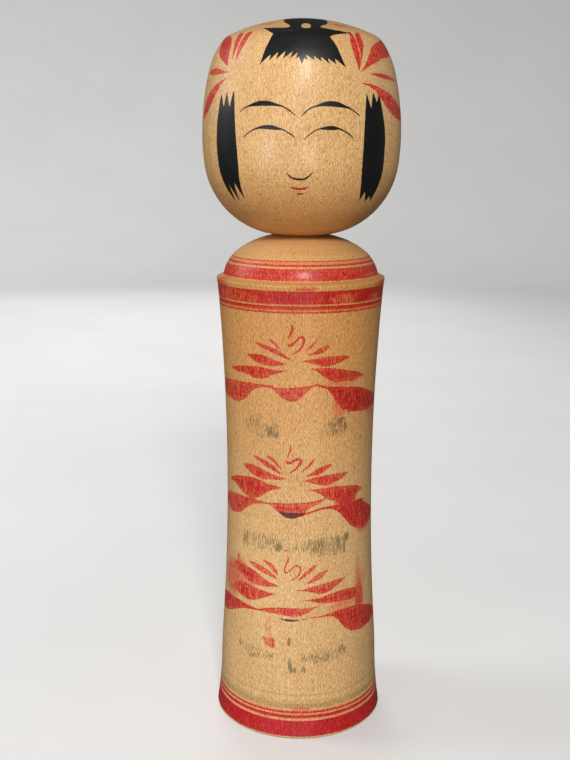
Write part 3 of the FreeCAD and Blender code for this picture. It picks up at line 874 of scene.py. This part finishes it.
def wood_figure(g):
    """The grain's figure: short flecks, and fine wavy lines that run up the surface."""
    fleck = g.noise(0.22, 1.2, detail=1.0, warp=0.25)
    sway = g.times(g.noise(1.6, 2.6, detail=2), 26.0)
    line = g.times(g.ripple(GRAIN_LINES, sway), 0.085)
    return g.plus(g.times(fleck, 0.5), g.plus(line, 0.25))


def wood_color(g, figure, grain, darkened_spans):
    """Old pale wood: slow clouds, faint streaks up it, turning lines round it, and its figure."""
    cloud = g.noise(30, 60, detail=3, warp=0.6)
    streak = g.noise(3.2, 80, detail=2, roughness=0.6)
    tone = g.plus(g.spread(cloud, -0.16, 0.16), g.spread(streak, -0.1, 0.1))
    turning = g.noise(60, 0.6, detail=2, roughness=0.7)
    tone = g.plus(tone, g.spread(turning, -0.1, 0.1))
    tone = g.plus(tone, g.scale(figure, 0.4, 0.62, -0.45 * grain, 0.7 * grain))
    tone = g.math("ADD", tone, 0.33, clamp=True)
    color = g.mix(tone, WOOD_PALE, WOOD_DEEP)
    # darkened over height: painted shade under the head's chin, and a darker, more orange top on the body
    return g.dye(color, darkening(g, darkened_spans), DARKENED_TINT)


def darkening(g, spans):
    """How much darker the wood is made, the product of ramps over height; on the head, painted shade under
    the chin.
    """
    amount = 1.0
    for start, end, low, high in spans:
        amount = g.times(g.scale(g.height(), start, end, low, high), amount)
    return amount


def painted_material(name, on_body, grain, darkened_spans):
    """Waxed wood with red dye on it, and the body's other dyes or the head's ink."""
    g = Graph(name)
    figure = wood_figure(g)
    bleed = g.noise(0.3, 1.5, detail=3, roughness=0.6)
    brush = g.noise(0.6, 5.0, detail=4, roughness=0.65)
    wobble = g.spread(bleed, -0.18, 0.18, smooth=False)
    worn = worn_dye(g, figure, bleed, brush)
    load = red_load(g, wobble, brush, worn)
    if on_body:
        load = g.math("MAXIMUM", load, g.times(g.attribute("wash"), worn))
    color = g.dye(wood_color(g, figure, grain, darkened_spans), load, RED_TINT)
    color = g.dye(color, g.math("SUBTRACT", load, CRIMSON_START, clamp=True), CRIMSON_TINT)
    color = body_dyes(g, color, wobble) if on_body else head_ink(g, color, bleed)
    wax(g, color, figure)
    return g.material


def worn_dye(g, figure, bleed, brush):
    """How much dye is left: less on the flecks, in worn patches, and by the lathe and brush."""
    thin = g.scale(g.plus(bleed, g.times(g.attribute("worn"), 0.3)),
                   0.6, 0.9, 1.0, 0.35)
    worn = g.times(g.scale(figure, 0.36, 0.64, 0.78, 1.2), thin)
    lathe = g.noise(13, 0.5, detail=2)
    worn = g.times(worn, g.spread(lathe, 0.86, 1.1))
    return g.times(worn, g.scale(brush, 0.36, 0.62, 0.84, 1.14))


def red_load(g, wobble, brush, worn):
    """The red dye: it pools at a stroke's edge, and lies deep in places well inside one."""
    edge = g.plus(g.attribute("red_edge"), wobble)
    inside = g.scale(edge, -0.14, 0.14, 0.0, 1.0)
    pool = g.times(g.scale(edge, 0.1, 0.7, 1.0, 0.0), 0.12)
    well_inside = g.scale(edge, 0.5, 2.6, 0.0, 1.0)
    deep = g.times(well_inside, g.scale(brush, 0.4, 0.62, -0.05, 0.6))
    load = g.plus(g.attribute("red_load"), g.plus(pool, deep))
    return g.times(g.times(load, worn), inside)


def body_dyes(g, color, wobble):
    """The faded green leaves, as short dashes, then the olive rings and the plum hearts."""
    spread = g.times(g.attribute("green"), 0.36)
    dashes = g.scale(g.plus(g.noise(0.36, 2.4, detail=2, roughness=0.6), spread),
                     0.6, 0.76, 0.0, 0.8)
    green = g.times(dashes, g.scale(g.attribute("green"), 0.0, 0.3, 0.0, 1.0))
    color = g.dye(color, green, GREEN_TINT)
    ring = g.scale(g.attribute("olive_edge"), -0.15, 0.15, 0.0, 1.0)
    color = g.dye(color, g.times(ring, g.attribute("olive_load")), OLIVE_TINT)
    plum = g.scale(g.plus(g.attribute("plum_edge"), wobble), -0.1, 0.14, 0.0, 0.95)
    return g.dye(color, plum, PLUM_TINT)


def head_ink(g, color, bleed):
    """The lips, then the black hair and the fine lines of the face."""
    fine = g.spread(bleed, -0.05, 0.05, smooth=False)
    color = g.dye(color, line_cover(g, "lip", fine), LIP_TINT)
    hair = g.scale(g.plus(g.attribute("ink_edge"), fine), -0.07, 0.07, 0.0, 1.0)
    ink = g.math("MAXIMUM", hair, line_cover(g, "line", fine))
    return g.mix(ink, color, INK)


def line_cover(g, layer, wobble):
    """How much a fine line covers the wood, from its offset and half-width."""
    offset = g.math("ABSOLUTE", g.attribute(layer + "_offset"))
    edge = g.math("SUBTRACT", g.attribute(layer + "_half"), offset)
    return g.scale(g.plus(edge, wobble), -0.13, 0.02, 0.0, 1.0)


def wax(g, color, figure):
    """A satin wax over the wood, with the grain just felt in it."""
    bump = g.nodes.new("ShaderNodeBump")
    g.fill(bump, {"Height": figure, "Strength": 0.5, "Distance": 0.05 * MM})
    rough = g.spread(g.noise(9, 16, detail=3), 0.36, 0.5)
    g.fill(g.principled(), {"Base Color": color, "Roughness": rough, "Specular IOR Level": 0.34,
                            "Coat Weight": 0.09, "Coat Roughness": 0.16,
                            "Normal": bump.outputs[0]})


# ------------------------------
# Stage, light and camera, in metres
# ------------------------------

STAGE_COLOR = (0.68, 0.68, 0.68)
STAGE_SHADE = (0.45, 0.45, 0.46)  # the tone of its faint clouds
STAGE_CLOUD = 160  # their size, in mm
STAGE_GLOW = 0.2
FLOOR_RADIUS = 1.5
BEND_RADIUS = 0.8
BEND_STEPS = 24
STAGE_SIDES = 96
SURROUND_TOP = 3.4
WHITE = (1.0, 1.0, 1.0)

CAMERA_PLACE = (-0.00687, -0.4417, 0.2495)
CAMERA_DOWN = 12.416
CAMERA_ROLL = -0.17
CAMERA_LENS = 32.48
CAMERA_SENSOR = 24

AIM = (0.0, 0.0, 0.15)  # the middle of the doll, which its lights face
ALL_ROUND = 180
NARROW = 90
# Lights on the doll: name, azimuth, elevation, distance, size, power, colour, spread, seen in gloss.
# The one behind lights the doll's back without a glare on the crown.
LIGHTS = [
    ("key", 4, 34, 1.7, (0.34, 0.34), 20.5, (1.0, 0.975, 0.94), ALL_ROUND, True),
    ("window", -37, -2, 1.35, (0.24, 0.24), 4.35, (0.98, 0.985, 1.0), ALL_ROUND, True),
    ("low", 6, -6.3, 1.2, (0.4, 0.14), 3.0, (1.0, 0.97, 0.93), ALL_ROUND, True),
    ("rim", -98, 30, 1.2, (0.4, 0.7), 4.2, (0.95, 0.975, 1.0), ALL_ROUND, True),
    ("back", 122, 12, 1.5, (0.8, 0.8), 0.35, WHITE, ALL_ROUND, True),
    ("behind", -172, 16, 1.6, (0.9, 0.9), 3.4, (1.0, 0.97, 0.93), NARROW, False),
]
# Lights that fall on the surround and miss the doll: (azimuth, power).
WALL_LIGHTS = [(-160, 5.5), (-100, 4.2), (-40, 2.4), (20, 2.4), (80, 2.6), (140, 1.0)]
WALL_ELEVATION = 62
WALL_DISTANCE = 2.4
WALL_SIZE = (0.6, 0.6)
WALL_AIM_RADIUS = 1.8
ROOM_COLOR = (1.0, 0.96, 0.9, 1.0)
ROOM_STRENGTH = 0.08


def stage_material():
    """A matt pale grey with faint clouds, and a little glow of its own."""
    g = Graph("stage")
    cloud = g.spread(g.noise(STAGE_CLOUD, STAGE_CLOUD, detail=2), 0.0, 0.12)
    color = g.mix(cloud, STAGE_COLOR, STAGE_SHADE)
    g.fill(g.principled(), {"Base Color": color, "Roughness": 0.85, "Emission Color": WHITE,
                            "Emission Strength": STAGE_GLOW})
    return g.material


def add_stage():
    """A pale round floor that curves up into a wall on every side."""
    outline = [(FLOOR_RADIUS + BEND_RADIUS * math.sin(t), BEND_RADIUS - BEND_RADIUS * math.cos(t))
               for t in np.linspace(0, math.pi / 2, BEND_STEPS)]
    outline.append((FLOOR_RADIUS + BEND_RADIUS, SURROUND_TOP))
    turns = np.linspace(0, 2 * math.pi, STAGE_SIDES, endpoint=False)
    bm = bmesh.new()
    rings = [[bm.verts.new((r * math.sin(a), -r * math.cos(a), z)) for a in turns]
             for r, z in outline]
    for low, high in zip(rings[:-1], rings[1:]):
        for i in range(len(turns)):
            k = (i + 1) % len(turns)
            bm.faces.new((low[i], high[i], high[k], low[k]))
    bm.faces.new(rings[0])
    mesh = bpy.data.meshes.new("stage")
    bm.to_mesh(mesh)
    bm.free()
    mesh.shade_smooth()
    stage = bpy.data.objects.new("stage", mesh)
    bpy.context.scene.collection.objects.link(stage)
    mesh.materials.append(stage_material())
    stage.visible_diffuse = False      # the doll gets no light back from the surround
    stage.visible_glossy = False
    stage.visible_shadow = False


def add_softbox(name, azimuth, elevation, distance, size, power, color, spread, aim=AIM):
    """A square light, placed round the doll by azimuth and elevation, that faces a point."""
    light = bpy.data.lights.new(name, "AREA")
    light.shape = "RECTANGLE"
    light.size, light.size_y = size
    light.energy = power
    light.color = color
    light.spread = math.radians(spread)
    lamp = bpy.data.objects.new(name, light)
    az, el = math.radians(azimuth), math.radians(elevation)
    away = Vector((math.sin(az) * math.cos(el), -math.cos(az) * math.cos(el), math.sin(el)))
    lamp.location = Vector(AIM) + away * distance
    lamp.rotation_euler = (lamp.location - Vector(aim)).to_track_quat("Z", "Y").to_euler()
    lamp.visible_camera = False
    bpy.context.scene.collection.objects.link(lamp)
    return lamp


def add_lights():
    for *settings, in_gloss in LIGHTS:
        add_softbox(*settings).visible_glossy = in_gloss
    for azimuth, power in WALL_LIGHTS:
        angle = math.radians(azimuth)
        wall = (WALL_AIM_RADIUS * math.sin(angle), -WALL_AIM_RADIUS * math.cos(angle), 0.0)
        add_softbox("wall", azimuth, WALL_ELEVATION, WALL_DISTANCE, WALL_SIZE, power, WHITE,
                    NARROW, wall)
    world = bpy.data.worlds.new("room")
    world.use_nodes = True
    background = world.node_tree.nodes["Background"]
    background.inputs["Color"].default_value = ROOM_COLOR
    background.inputs["Strength"].default_value = ROOM_STRENGTH
    bpy.context.scene.world = world


def add_camera():
    camera = bpy.data.cameras.new("camera")
    camera.sensor_fit = "VERTICAL"
    camera.sensor_height = CAMERA_SENSOR
    camera.lens = CAMERA_LENS
    camera.clip_start = 0.01
    holder = bpy.data.objects.new("camera", camera)
    holder.location = CAMERA_PLACE
    holder.rotation_mode = "XYZ"
    holder.rotation_euler = (math.radians(90 - CAMERA_DOWN), math.radians(CAMERA_ROLL), 0)
    bpy.context.scene.collection.objects.link(holder)
    bpy.context.scene.camera = holder


def place(piece, node, grain, darkened_spans):
    """Give a piece its material, and let it stand for a CAD node and move with its body."""
    slot = "painted_" + node
    piece.data.materials.append(painted_material(slot, node == "body", grain, darkened_spans))
    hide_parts(node)
    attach(piece, node)


place(build_body(), "body", BODY_GRAIN, BODY_DARKENED)
place(build_head(), "head", HEAD_GRAIN, HEAD_CHIN_SHADE)
add_stage()
add_lights()
add_camera()
bpy.context.scene.view_settings.view_transform = "Standard"
